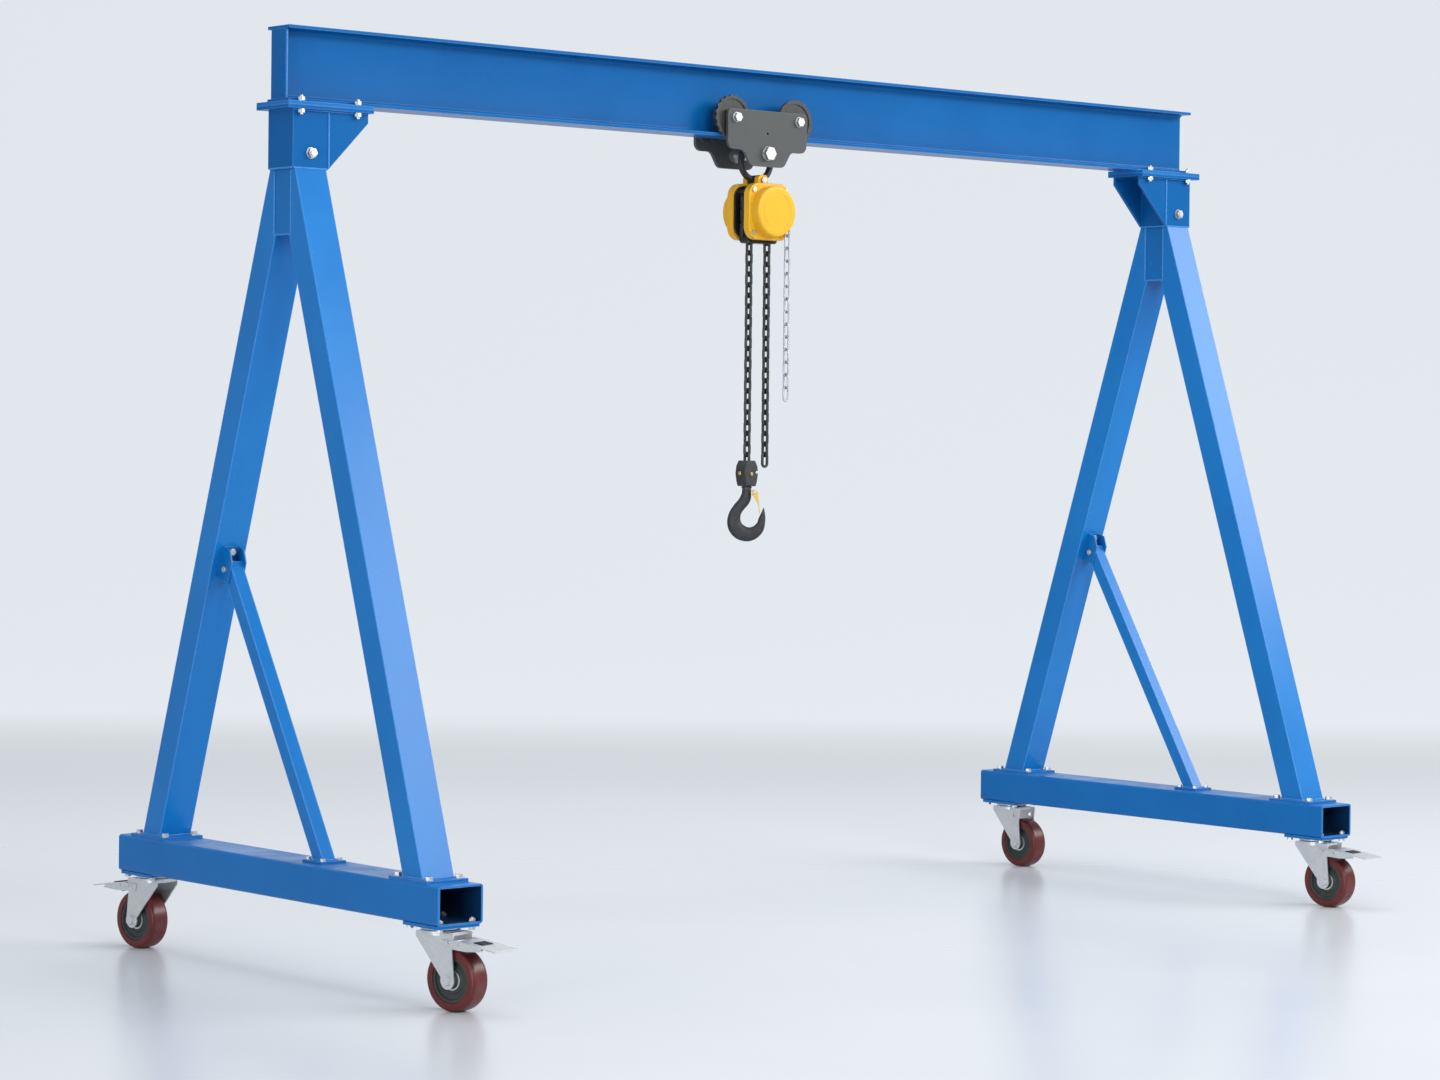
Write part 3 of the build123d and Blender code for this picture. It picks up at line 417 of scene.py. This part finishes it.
def mesh_object(name, parts, material):
    """One smooth object from several (vertices, quads) pairs."""
    points, quads, start = [], [], 0
    for verts, faces in parts:
        points.append(np.asarray(verts, float).reshape(-1, 3))
        quads.append(np.asarray(faces) + start)
        start += len(points[-1])
    points = np.concatenate(points)
    quads = np.concatenate(quads)
    mesh = bpy.data.meshes.new(name)
    mesh.vertices.add(len(points))
    mesh.vertices.foreach_set("co", points.ravel())
    mesh.loops.add(quads.size)
    mesh.loops.foreach_set("vertex_index", quads.ravel().astype(np.int32))
    mesh.polygons.add(len(quads))
    mesh.polygons.foreach_set("loop_start", (np.arange(len(quads)) * 4).astype(np.int32))
    mesh.polygons.foreach_set("use_smooth", np.ones(len(quads), bool))
    mesh.update(calc_edges=True)
    mesh.validate()
    obj = bpy.data.objects.new(name, mesh)
    bpy.context.scene.collection.objects.link(obj)
    return put_finish(obj, material)


def oriented(verts, faces):
    """Quads of a closed skin, turned so that they face outwards."""
    p = np.asarray(verts, float).reshape(-1, 3)
    f = faces
    a, b, c, d = (p[f[:, i]] for i in range(4))
    volume = (a * np.cross(b, c)).sum() + (a * np.cross(c, d)).sum()
    return p, f if volume > 0 else f[:, ::-1]


def skin(points, wrap_rows=False):
    """Closed skin over rings of points; open ends are closed by a fan of slim quads."""
    points = np.asarray(points, float)
    rows, columns = points.shape[:2]
    if not wrap_rows:
        first = np.repeat(points[:1].mean(axis=1, keepdims=True), columns, axis=1)
        last = np.repeat(points[-1:].mean(axis=1, keepdims=True), columns, axis=1)
        points = np.concatenate([first, points, last], axis=0)
        rows += 2
    return oriented(points, grid_faces(rows, columns, wrap_rows, True))


def piece(name, parts, finish, body, nodes=(), smooth_angle=40.0):
    """Object from closed skins, welded at its poles, riding on a body."""
    obj = mesh_object(name, parts, finish)
    work = bmesh.new()
    work.from_mesh(obj.data)
    bmesh.ops.remove_doubles(work, verts=work.verts, dist=1e-6)
    work.to_mesh(obj.data)
    work.free()
    obj.data.set_sharp_from_angle(angle=math.radians(smooth_angle))
    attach(obj, body)
    if nodes:
        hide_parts(*nodes)
    return obj


def soft_outline(corners, radius, steps=6):
    """Closed polygon with every corner replaced by a parabola of about that radius."""
    p = np.asarray(corners, float)
    back, ahead = np.roll(p, 1, axis=0) - p, np.roll(p, -1, axis=0) - p
    shares = []
    for way in (back, ahead):
        length = np.linalg.norm(way, axis=1, keepdims=True)
        shares.append(p + way / length * np.minimum(np.reshape(radius, (-1, 1)), 0.49 * length))
    t = np.linspace(0, 1, steps)[None, :, None]
    a, b = shares[0][:, None], shares[1][:, None]
    return ((1 - t) ** 2 * a + 2 * t * (1 - t) * p[:, None] + t ** 2 * b).reshape(-1, 2)


def lathe(profile, centre, turn=0.0, steps=96, axis="X", solid=False):
    """Outline of (along, radius) points turned full circle; a solid one is closed at its ends."""
    profile = np.asarray(profile, float)
    angle = np.arange(steps) / steps * TAU
    along = profile[None, :, 0]
    across = profile[None, :, 1] * np.cos(angle)[:, None]
    upward = profile[None, :, 1] * np.sin(angle)[:, None]
    along = np.repeat(along, steps, axis=0)
    if axis == "Z":
        local = np.stack([across, upward, along], axis=-1)
    else:
        local = np.stack([along, across, upward], axis=-1)
    local = turned(local, turn) + np.array(centre)
    if solid:
        return skin(local.transpose(1, 0, 2))
    return skin(local, wrap_rows=True)


def turned(points, degrees):
    """Points turned about the vertical line through the origin."""
    a = math.radians(degrees)
    x, y, z = points[..., 0], points[..., 1], points[..., 2]
    return np.stack([x * math.cos(a) - y * math.sin(a), x * math.sin(a) + y * math.cos(a), z],
                    axis=-1)


def smooth_curve(points, count):
    """Catmull-Rom curve through control points, at evenly spaced parameters."""
    p = np.asarray(points, float)
    p = np.concatenate([2 * p[:1] - p[1:2], p, 2 * p[-1:] - p[-2:-1]])
    t = np.linspace(0, len(p) - 3 - 1e-9, count)
    i = t.astype(int)
    f = (t - i)[:, None]
    a, b, c, d = p[i], p[i + 1], p[i + 2], p[i + 3]
    return 0.5 * (2 * b + (c - a) * f + (2 * a - 5 * b + 4 * c - d) * f ** 2
                  + (3 * b - a - 3 * c + d) * f ** 3)


# ---- chains: each link is a round bar along a stadium-shaped loop
def link_points(width, pitch, wire, count=44):
    """Centre line of an upright link: two half circles joined by straight sides."""
    r = (width - wire) / 2
    straight = (pitch + wire) / 2 - r
    t = np.arange(count) / count * TAU
    x = r * np.cos(t)
    z = r * np.sin(t) + straight * np.tanh(np.sin(t) * 14)
    return np.stack([x, np.zeros(count), z], axis=-1)


def chain(name, node, count, width, wire, finish):
    """Links hung one pitch apart, each a quarter turn from the next, in the CAD chain's place."""
    low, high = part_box(node)
    middle = (low + high) / 2
    pitch = (high.z - low.z - 2 * wire) / count
    shape = link_points(width, pitch, wire)
    parts = []
    for i in range(count):
        local = turned(shape, 90.0 * (i % 2))
        at = np.array([middle.x, middle.y, low.z + wire + (i + 0.5) * pitch])
        parts.append(tube_about(local, at, wire / 2))
    return piece(name, parts, finish, BODIES[node], [node], 80.0)


def tube_about(local, at, radius):
    """A closed round bar along a flat loop that stands upright, moved to its place."""
    ahead = np.roll(local, -1, axis=0) - np.roll(local, 1, axis=0)
    ahead /= np.linalg.norm(ahead, axis=1, keepdims=True)
    flat = np.cross(local[0] - local[len(local) // 2], (0, 0, 1.0))
    flat /= np.linalg.norm(flat)
    side = np.cross(ahead, flat)
    angle = np.arange(14) / 14 * TAU
    ring = np.cos(angle)[None, :, None] * side[:, None] + np.sin(angle)[None, :, None] * flat
    return skin(local[:, None] + at + ring * radius, wrap_rows=True)


load_links = chain("load_chain_links", "load_chain", 23, 0.027, 0.0085, CHAIN)
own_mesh(load_links)
chain("slack_chain_links", "slack_chain", 22, 0.027, 0.0085, CHAIN)
chain("hand_chain_links", "hand_chain", 14, 0.023, 0.0056, HAND_ZINC)

# ---- caster wheels: tread and hub turned from closed outlines
CASTERS = {"left_front": (-1, -1, 12.0), "left_rear": (-1, 1, 188.0),
           "right_front": (1, -1, 4.0), "right_rear": (1, 1, 0.0)}
half = 0.029
tread = soft_outline([(-half, 0.058), (-half, 0.0795), (0.0, 0.0806), (half, 0.0795),
                      (half, 0.058), (half - 0.004, 0.0577), (-half + 0.004, 0.0577)],
                     [0.001, 0.011, 0.02, 0.011, 0.001, 0.001, 0.001], 10)
tread[:, 1] = np.minimum(tread[:, 1], WHEEL_RADIUS)
hub_corners = []
for end in (1, -1):
    edge = [(half - 0.002, 0.0574), (half - 0.002, 0.0515), (half - 0.0105, 0.0485),
            (half - 0.0105, 0.036), (half - 0.0075, 0.034), (half - 0.0075, 0.0225),
            (0.0345, 0.0175), (0.0345, 0.0086)]
    hub_corners += [(end * x, r) for x, r in (edge if end > 0 else edge[::-1])]
hub_outline = soft_outline(hub_corners, 0.0016, 5)
bearing = soft_outline([(0.0205, 0.0165), (0.0205, 0.0265), (0.0222, 0.0265), (0.0222, 0.0165)],
                       0.0006, 3)
rivet_head = np.array([(-0.0012, 0.0042), (0.0008, 0.0042), (0.0018, 0.0034), (0.0023, 0.0018),
                       (0.0024, 0.0006)])
for name, (side, end, turn) in CASTERS.items():
    pivot = np.array([side * HALF_SPAN, end * CASTER_Y, 0.0])
    centre = pivot + turned(np.array([0.0, -WHEEL_TRAIL, WHEEL_RADIUS]), turn)
    piece(f"caster_tread_{name}", [lathe(tread, centre, turn, 128)], TYRE, f"wheel_{name}",
          [f"tyre_{name}"])
    piece(f"caster_hub_{name}", [lathe(hub_outline, centre, turn, 96)], HUB, f"wheel_{name}",
          [f"hub_{name}"])
    seals = [lathe(bearing * np.array([s, 1.0]), centre, turn, 72) for s in (1.0, -1.0)]
    piece(f"bearing_seal_{name}", seals, PRESSED, f"wheel_{name}")
    shield = soft_outline([(0.1975, 0.012), (0.1975, 0.0445), (0.2026, 0.0475), (0.2026, 0.012)],
                          0.0012, 4)
    piece(f"swivel_seal_{name}", [lathe(shield, pivot, 0.0, 72, "Z")], RUBBER, "frame")
    rounded_copy(f"fork_{name}", 0.0016, 3)
    if name == "right_rear":
        continue
    rounded_copy(f"pedal_{name}", 0.0013, 2)
    # rubber pad with ridges across it, on top of the pedal
    u = np.linspace(-1, 1, 25)
    v = np.linspace(0, 1, 61)
    uu, vv = np.meshgrid(u, v)
    rim = np.minimum(1.0, 14 * np.minimum(1 - np.abs(uu), 1.6 * np.minimum(vv, 1 - vv)))
    y = -0.124 - 0.032 * vv
    top = np.interp(-y, [0.09, 0.16, 0.215], [0.182, 0.174, 0.166])
    z = top + rim * (0.0024 + 0.0007 * np.cos(vv * TAU * 7))
    x = uu * 0.021
    upper = np.stack([x, y, z], axis=-1)
    lower = np.stack([x, y, top - 0.004], axis=-1)
    closed = np.concatenate([upper, lower[:, ::-1]], axis=1)
    local = turned(closed, turn) + pivot
    piece(f"pedal_rubber_{name}", [skin(local)], RUBBER, f"brake_{name}")
    arm = [lathe(rivet_head * np.array([s, 1.0]), np.array([s * 0.042, y, z]), 0.0, 28, "X", True)
           for s in (-1, 1) for y, z in ((-0.062, 0.176), (-0.098, 0.1735))]
    arm = [(turned(points, turn) + pivot, faces) for points, faces in arm]
    piece(f"pedal_rivets_{name}", arm, ZINC, f"brake_{name}")
    shoe = soft_outline([(-0.118, 0.1525), (-0.096, 0.1585), (-0.094, 0.17), (-0.128, 0.168)],
                        0.003, 5)
    across = np.array([-0.0225, -0.021, 0.021, 0.0225])
    inset = np.array([0.82, 1.0, 1.0, 0.82])
    middle = shoe.mean(axis=0)
    ring = middle + (shoe - middle) * inset[:, None, None]
    block = np.concatenate([np.broadcast_to(across[:, None, None], (4, len(shoe), 1)), ring],
                           axis=-1)
    piece(f"brake_shoe_{name}", [skin(turned(block, turn) + pivot)], RUBBER, f"brake_{name}")

# ---- load hook: sections swept between an inner and an outer curve
outer = smooth_curve([(51.6, 43), (54.8, 27), (56, 6), (50, -25), (28, -48.5), (0, -56),
                      (-30, -47.3), (-50, -25), (-56, 2), (-50, 29), (-37, 50), (-23, 67),
                      (-15, 83), (-13, 98), (-13, 112)], 150)
inner = smooth_curve([(49.6, 43), (43.5, 28), (36, 12), (31.5, -1), (21, -11), (8, -14.3),
                      (-4, -10.5), (-13.5, -2), (-17.3, 11), (-15, 25), (-6, 39), (6, 53),
                      (13, 70), (13.2, 92), (13, 112)], 150)
share = np.linspace(0, 1, 150)
thick = np.interp(share, [0, 0.06, 0.2, 0.38, 0.55, 0.72, 0.84, 1.0],
                  [2.2, 6.5, 10.5, 12.6, 12.9, 12.6, 12.8, 13.0])
middle = (outer + inner) / 2
reach = (inner - outer) / 2
psi = np.arange(32) / 32 * TAU
cos, sin = np.cos(psi), np.sin(psi)
square = np.interp(share, [0, 0.3, 0.75, 0.9], [1.0, 0.82, 0.86, 1.0])[:, None]
wide = np.sign(cos) * np.abs(cos) ** square
deep = np.sign(sin) * np.abs(sin) ** square * (1.0 + 0.10 * cos * np.sin(share[:, None] * math.pi))
flat = middle[:, None] + reach[:, None] * wide[..., None]
local = np.stack([flat[..., 0], np.clip(thick[:, None] * deep, -13, 13), flat[..., 1]],
                 axis=-1) / 1000.0
hook_parts = [skin(turned(local, HOOK_TURN) + np.array([HANG_X, 0, BOWL_Z]))]
eye = soft_outline([(-0.013, 0.0037), (-0.013, 0.0088), (0.013, 0.0088), (0.013, 0.0037)],
                   0.001, 4)


def across_hook(outline, u, z, steps=48, solid=False):
    """Ring or button whose axis runs across the hook, at a distance u out from the shank."""
    angle = np.arange(steps) / steps * TAU
    ring = np.stack([outline[None, :, 1] * np.cos(angle)[:, None] + u,
                     np.repeat(outline[None, :, 0], steps, axis=0),
                     outline[None, :, 1] * np.sin(angle)[:, None] + z], axis=-1)
    ring = turned(ring, HOOK_TURN) + np.array([HANG_X, 0, 0])
    return skin(ring.transpose(1, 0, 2)) if solid else skin(ring, wrap_rows=True)


hook_parts.append(across_hook(eye, LATCH_OUT, LATCH_Z))
neck_ring = soft_outline([(1.2905, 0.008), (1.2905, 0.0152), (1.2962, 0.0152), (1.2962, 0.008)],
                         0.0018, 4)
hook_parts.append(lathe(neck_ring, (HANG_X, 0, 0), 0.0, 64, "Z"))
piece("forged_hook", hook_parts, FORGING, "hook", ["hook"], 50.0)

# ---- latch: formed sheet with a folded back and two legs, on a riveted pivot
rounded_copy("latch", 0.0007, 2)
rivet = np.array([(0.0150, 0.0046), (0.0160, 0.0046), (0.0168, 0.0042), (0.0173, 0.0032),
                  (0.0175, 0.0016)])
boss = soft_outline([(0.0133, 0.0038), (0.0133, 0.0086), (0.0156, 0.0086), (0.0156, 0.0038)],
                    0.0006, 4)
piece("latch_boss", [across_hook(boss * np.array([s, 1.0]), LATCH_OUT, LATCH_Z)
                     for s in (1, -1)], GOLD, "latch")
piece("latch_rivet", [across_hook(rivet * np.array([s, 1.0]), LATCH_OUT, LATCH_Z, 32, True)
                      for s in (1, -1)], ZINC, "latch")

# ---- hook block screws and the stamped guide in the slot of the hoist
button = np.array([(0.0, 0.0048), (0.0016, 0.0048), (0.0026, 0.0040), (0.0031, 0.0022),
                   (0.0032, 0.0008)])
piece("block_screw", [lathe(button, (-0.086, -0.0215, 1.337), -90.0, 32, "X", True)], ZINC,
      BODIES["hook_block"])
piece("block_side_screw", [lathe(button * np.array([-1.0, 1.15]), (-0.1315, 0.0, 1.335), 0.0, 32,
                                 "X", True)], BRASS, BODIES["hook_block"])
low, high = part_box("hoist_frame")
slot_x, slot_z = low.x + 0.013, (low.z + high.z) / 2 + 0.004
guide = [tube_about(turned(link_points(0.024, 0.040, 0.006), 62.0),
                    np.array([slot_x, 0.004, slot_z + step]), 0.0028)
         for step in (-0.045, -0.008, 0.029)]
piece("chain_guide", guide, CHAIN, BODIES["hoist_frame"], (), 80.0)

# ---- welds: rippled beads laid along the joints of the frame
def bead(start, end, width):
    """Straight weld bead with a ripple every few millimetres, thin at its ends."""
    start, end = np.array(start, float), np.array(end, float)
    length = np.linalg.norm(end - start)
    count = max(12, int(length / 0.0012))
    t = np.linspace(0, 1, count)
    path = start + (end - start) * t[:, None]
    ripple = 1 + 0.16 * np.sin(t * length / 0.0042 * TAU)
    taper = np.minimum(1.0, 30 * np.minimum(t, 1 - t) + 0.25)
    ahead = (end - start) / length
    pick = np.eye(3)[int(np.argmin(np.abs(ahead)))]
    side = np.cross(ahead, pick)
    side /= np.linalg.norm(side)
    other = np.cross(ahead, side)
    angle = np.arange(8) / 8 * TAU
    ring = np.cos(angle)[None, :, None] * side + np.sin(angle)[None, :, None] * other
    return skin(path[:, None] + ring * (width * ripple * taper)[:, None, None])


beads = []
for side in (-1, 1):
    x, inward = side * HALF_SPAN, -side
    # sleeve to gussets, head plate to sleeve and gussets, mouth of the sleeve
    for y in (-0.0575, 0.0575):
        beads.append(bead((x + inward * 0.057, y, 2.139), (x + inward * 0.057, y, 2.287), 0.003))
        beads.append(bead((x - inward * 0.056, y, 2.2885), (x + inward * 0.182, y, 2.2885), 0.0022))
        beads.append(bead((x - 0.055, y * 0.99, 2.136), (x + 0.055, y * 0.99, 2.136), 0.0026))
    for dx in (-0.0565, 0.0565):
        beads.append(bead((x + dx, -0.055, 2.136), (x + dx, 0.055, 2.136), 0.0026))
    # crotch block to legs
    for dx in (-0.0485, 0.0485):
        for y in (-0.038, 0.038):
            beads.append(bead((x + dx, y, 1.964), (x + dx, y, 2.133), 0.0026))
        beads.append(bead((x + dx * 0.98, -0.037, 1.9622), (x + dx * 0.98, 0.037, 1.9622), 0.002))
    # legs and brace to their foot plates
    for y0, half_x, half_y in ((-0.605, 0.05, 0.042), (0.605, 0.05, 0.042), (-0.15, 0.02, 0.023)):
        for s in (-1, 1):
            beads.append(bead((x - half_x, y0 + s * half_y, 0.3265),
                              (x + half_x, y0 + s * half_y, 0.3265), 0.0028))
            beads.append(bead((x + s * half_x, y0 - half_y, 0.3265),
                              (x + s * half_x, y0 + half_y, 0.3265), 0.0028))
    # pads to the bottom flange
    for y in (-0.0505, 0.0505):
        beads.append(bead((x - inward * 0.064, y, 2.3105), (x + inward * 0.188, y, 2.3105), 0.0026))
# end plate to the web and flanges
for y in (-0.034, 0.034):
    beads.append(bead((-1.762, y, 2.3195), (-1.762, y, 2.5005), 0.002))
piece("weld_beads", beads, LIT_LEG_BLUE, "frame", (), 60.0)


# ---------------------------------------------------------------- floor, light, camera
def sheet(name, verts, rows, columns, material):
    """Open sheet over a rows by columns grid of points."""
    return mesh_object(name, [(verts, grid_faces(rows, columns, False, False))], material)


def stage_grid(name, across, up, material):
    """Sheet z = f(x, y): flat floor that curves up far behind the crane."""
    u = np.linspace(-1, 1, across)
    v = np.linspace(0, 1, up)
    uu, vv = np.meshgrid(u, v)
    run = vv * 26.0 - 12.0
    rise = np.where(run > 8.0, 9.0 * ((run - 8.0) / 6.0) ** 2, 0.0)
    forward = np.array([math.sin(FACING), math.cos(FACING)])
    side = np.array([forward[1], -forward[0]])
    xy = run[..., None] * forward + (uu * 16.0)[..., None] * side
    verts = np.concatenate([xy, rise[..., None]], axis=-1).reshape(-1, 3)
    return sheet(name, verts, up, across, material)


def floor_finish():
    """Pale blue-grey painted floor; the far wall glows a little, so the horizon melts away."""
    f = Finish("pale_floor", Specular_IOR_Level=0.34, Emission_Strength=1.0)
    cloud = f.noise(0.7, 3.0, 0.5)
    depth = f.add("ShaderNodeVectorMath", {"operation": "DOT_PRODUCT"},
                  {0: f.place, 1: (math.sin(FACING), math.cos(FACING), 0.0)}, "Value")
    base = f.mix(f.ramp(cloud, 0.3, 0.7), rgba(0.585, 0.605, 0.635), rgba(0.61, 0.63, 0.655))
    # painted shade: the floor's own colour darkens with depth, so that the painted glow below sets
    # its brightness far away
    base = f.mix(f.ramp(depth, 1.0, 7.0), base, rgba(0.10, 0.102, 0.108))
    # painted light: a glow that rises with depth stands in for the light on the far floor and wall
    glow = f.mix(f.ramp(depth, 0.5, 9.0), rgba(0.0, 0.0, 0.0), rgba(0.665, 0.70, 0.735))
    gloss = 0.22 + cloud * 0.08 + f.ramp(depth, 1.0, 7.0) * 0.4
    return f.feed(Base_Color=base, Roughness=gloss, Emission_Color=glow)


stage_grid("floor_sheet", 40, 90, floor_finish())


def area_light(name, at, aim, size, power, colour):
    """Soft rectangular lamp pointed at a place."""
    lamp = bpy.data.lights.new(name, "AREA")
    lamp.shape = "RECTANGLE"
    lamp.size, lamp.size_y = size
    lamp.energy = power
    lamp.color = colour
    obj = bpy.data.objects.new(name, lamp)
    obj.location = at
    obj.rotation_euler = (Vector(aim) - Vector(at)).to_track_quat("-Z", "Y").to_euler()
    bpy.context.scene.collection.objects.link(obj)


area_light("key_lamp", (-2.0, -8.5, 5.0), (0, 0, 1.0), (4.0, 3.5), 300, (1.0, 0.99, 0.97))
area_light("sheen_lamp", (6.4, -6.8, 5.5), (0, 0, 0.8), (9.0, 3.0), 700, (1.0, 0.99, 0.97))
area_light("fill_lamp", (-10.0, -4.0, 1.6), (0, 0, 0.6), (4.0, 2.6), 270, (0.94, 0.97, 1.0))
area_light("top_lamp", (0.0, 0.5, 7.5), (0, 0, 0), (7.0, 5.0), 260, (1.0, 1.0, 1.0))
world = bpy.data.worlds.new("studio")
bpy.context.scene.world = world
world.use_nodes = True
sky = world.node_tree.nodes["Background"]
sky.inputs["Color"].default_value = rgba(0.86, 0.90, 0.96)
sky.inputs["Strength"].default_value = 0.58

camera_at = Vector((-7.221, -8.012, 1.4515))
yaw, dip, roll = math.radians(-41.19), math.radians(0.44), math.radians(0.61)
back = Vector((math.sin(yaw) * math.cos(dip), -math.cos(yaw) * math.cos(dip), math.sin(dip)))
level = back.cross(Vector((0, 0, 1))) * -1
level.normalize()
upright = back.cross(level)
right = level * math.cos(roll) + upright * math.sin(roll)
up = upright * math.cos(roll) - level * math.sin(roll)
lens = bpy.data.cameras.new("studio_camera")
lens.sensor_width = 36.0
lens.lens = 91.4775
lens.shift_y = -78.8 / 1440.0
lens.clip_end = 100.0
camera = bpy.data.objects.new("studio_camera", lens)
camera.matrix_world = Matrix(((right.x, up.x, back.x, camera_at.x),
                              (right.y, up.y, back.y, camera_at.y),
                              (right.z, up.z, back.z, camera_at.z), (0, 0, 0, 1)))
bpy.context.scene.collection.objects.link(camera)
bpy.context.scene.camera = camera
bpy.context.scene.view_settings.view_transform = "Standard"
